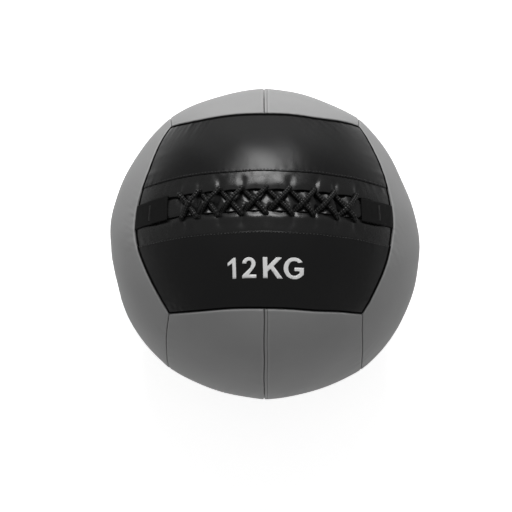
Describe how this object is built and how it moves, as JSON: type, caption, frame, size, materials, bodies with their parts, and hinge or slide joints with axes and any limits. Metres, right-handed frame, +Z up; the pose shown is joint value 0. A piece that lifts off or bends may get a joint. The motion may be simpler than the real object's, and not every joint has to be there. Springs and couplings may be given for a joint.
{
  "type": "wall ball",
  "caption": "Soft round training ball of sewn coated-fabric panels, laced shut over a tongue, with a fibre filling round a tied bag of iron sand.",
  "frame": {"origin": "on the floor under the ball's centre, at the middle of the flat that it rests on", "axes": "+Z up, out through the middle of the laced face. +X along the lacing, to the right in the picture. +Y across the lacing, to the top of the picture."},
  "size_m": [0.3504, 0.3504, 0.3485],
  "materials": {
    "black_embossed_fabric": "black coated fabric with a fine embossed weave, satin",
    "black_smooth_facing": "black coated fabric, smooth and slightly glossy",
    "black_braided_cord": "round braided cord, matte black",
    "black_woven_tape": "flat woven tape, matte black",
    "grey_coated_fabric": "grey coated fabric with a fine grain, matte",
    "liner_cloth": "plain undyed woven cloth",
    "fibre_wadding": "packed textile fibre",
    "iron_sand": "loose iron grit, dull"
  },
  "bodies": {
    "root": {"upper_black_panel": "black_embossed_fabric", "lower_black_panel": "black_embossed_fabric", "upper_lace_facing": "black_smooth_facing", "lower_lace_facing": "black_smooth_facing", "lace_tongue": "black_smooth_facing", "lace_cord": "black_braided_cord", "lace_end_knot": "black_braided_cord", "left_webbing_tab": "black_woven_tape", "right_webbing_tab": "black_woven_tape", "base_far_panel": "black_embossed_fabric", "base_near_panel": "black_embossed_fabric", "far_left_panel": "grey_coated_fabric", "far_right_panel": "grey_coated_fabric", "near_left_panel": "grey_coated_fabric", "near_right_panel": "grey_coated_fabric", "left_upper_panel": "grey_coated_fabric", "left_lower_panel": "grey_coated_fabric", "right_upper_panel": "grey_coated_fabric", "right_lower_panel": "grey_coated_fabric", "inner_liner": "liner_cloth", "upper_wadding": "fibre_wadding", "lower_wadding": "fibre_wadding", "core_bag": "liner_cloth", "core_bag_tie": "black_braided_cord", "iron_sand": "iron_sand"}
  },
  "joints": []
}
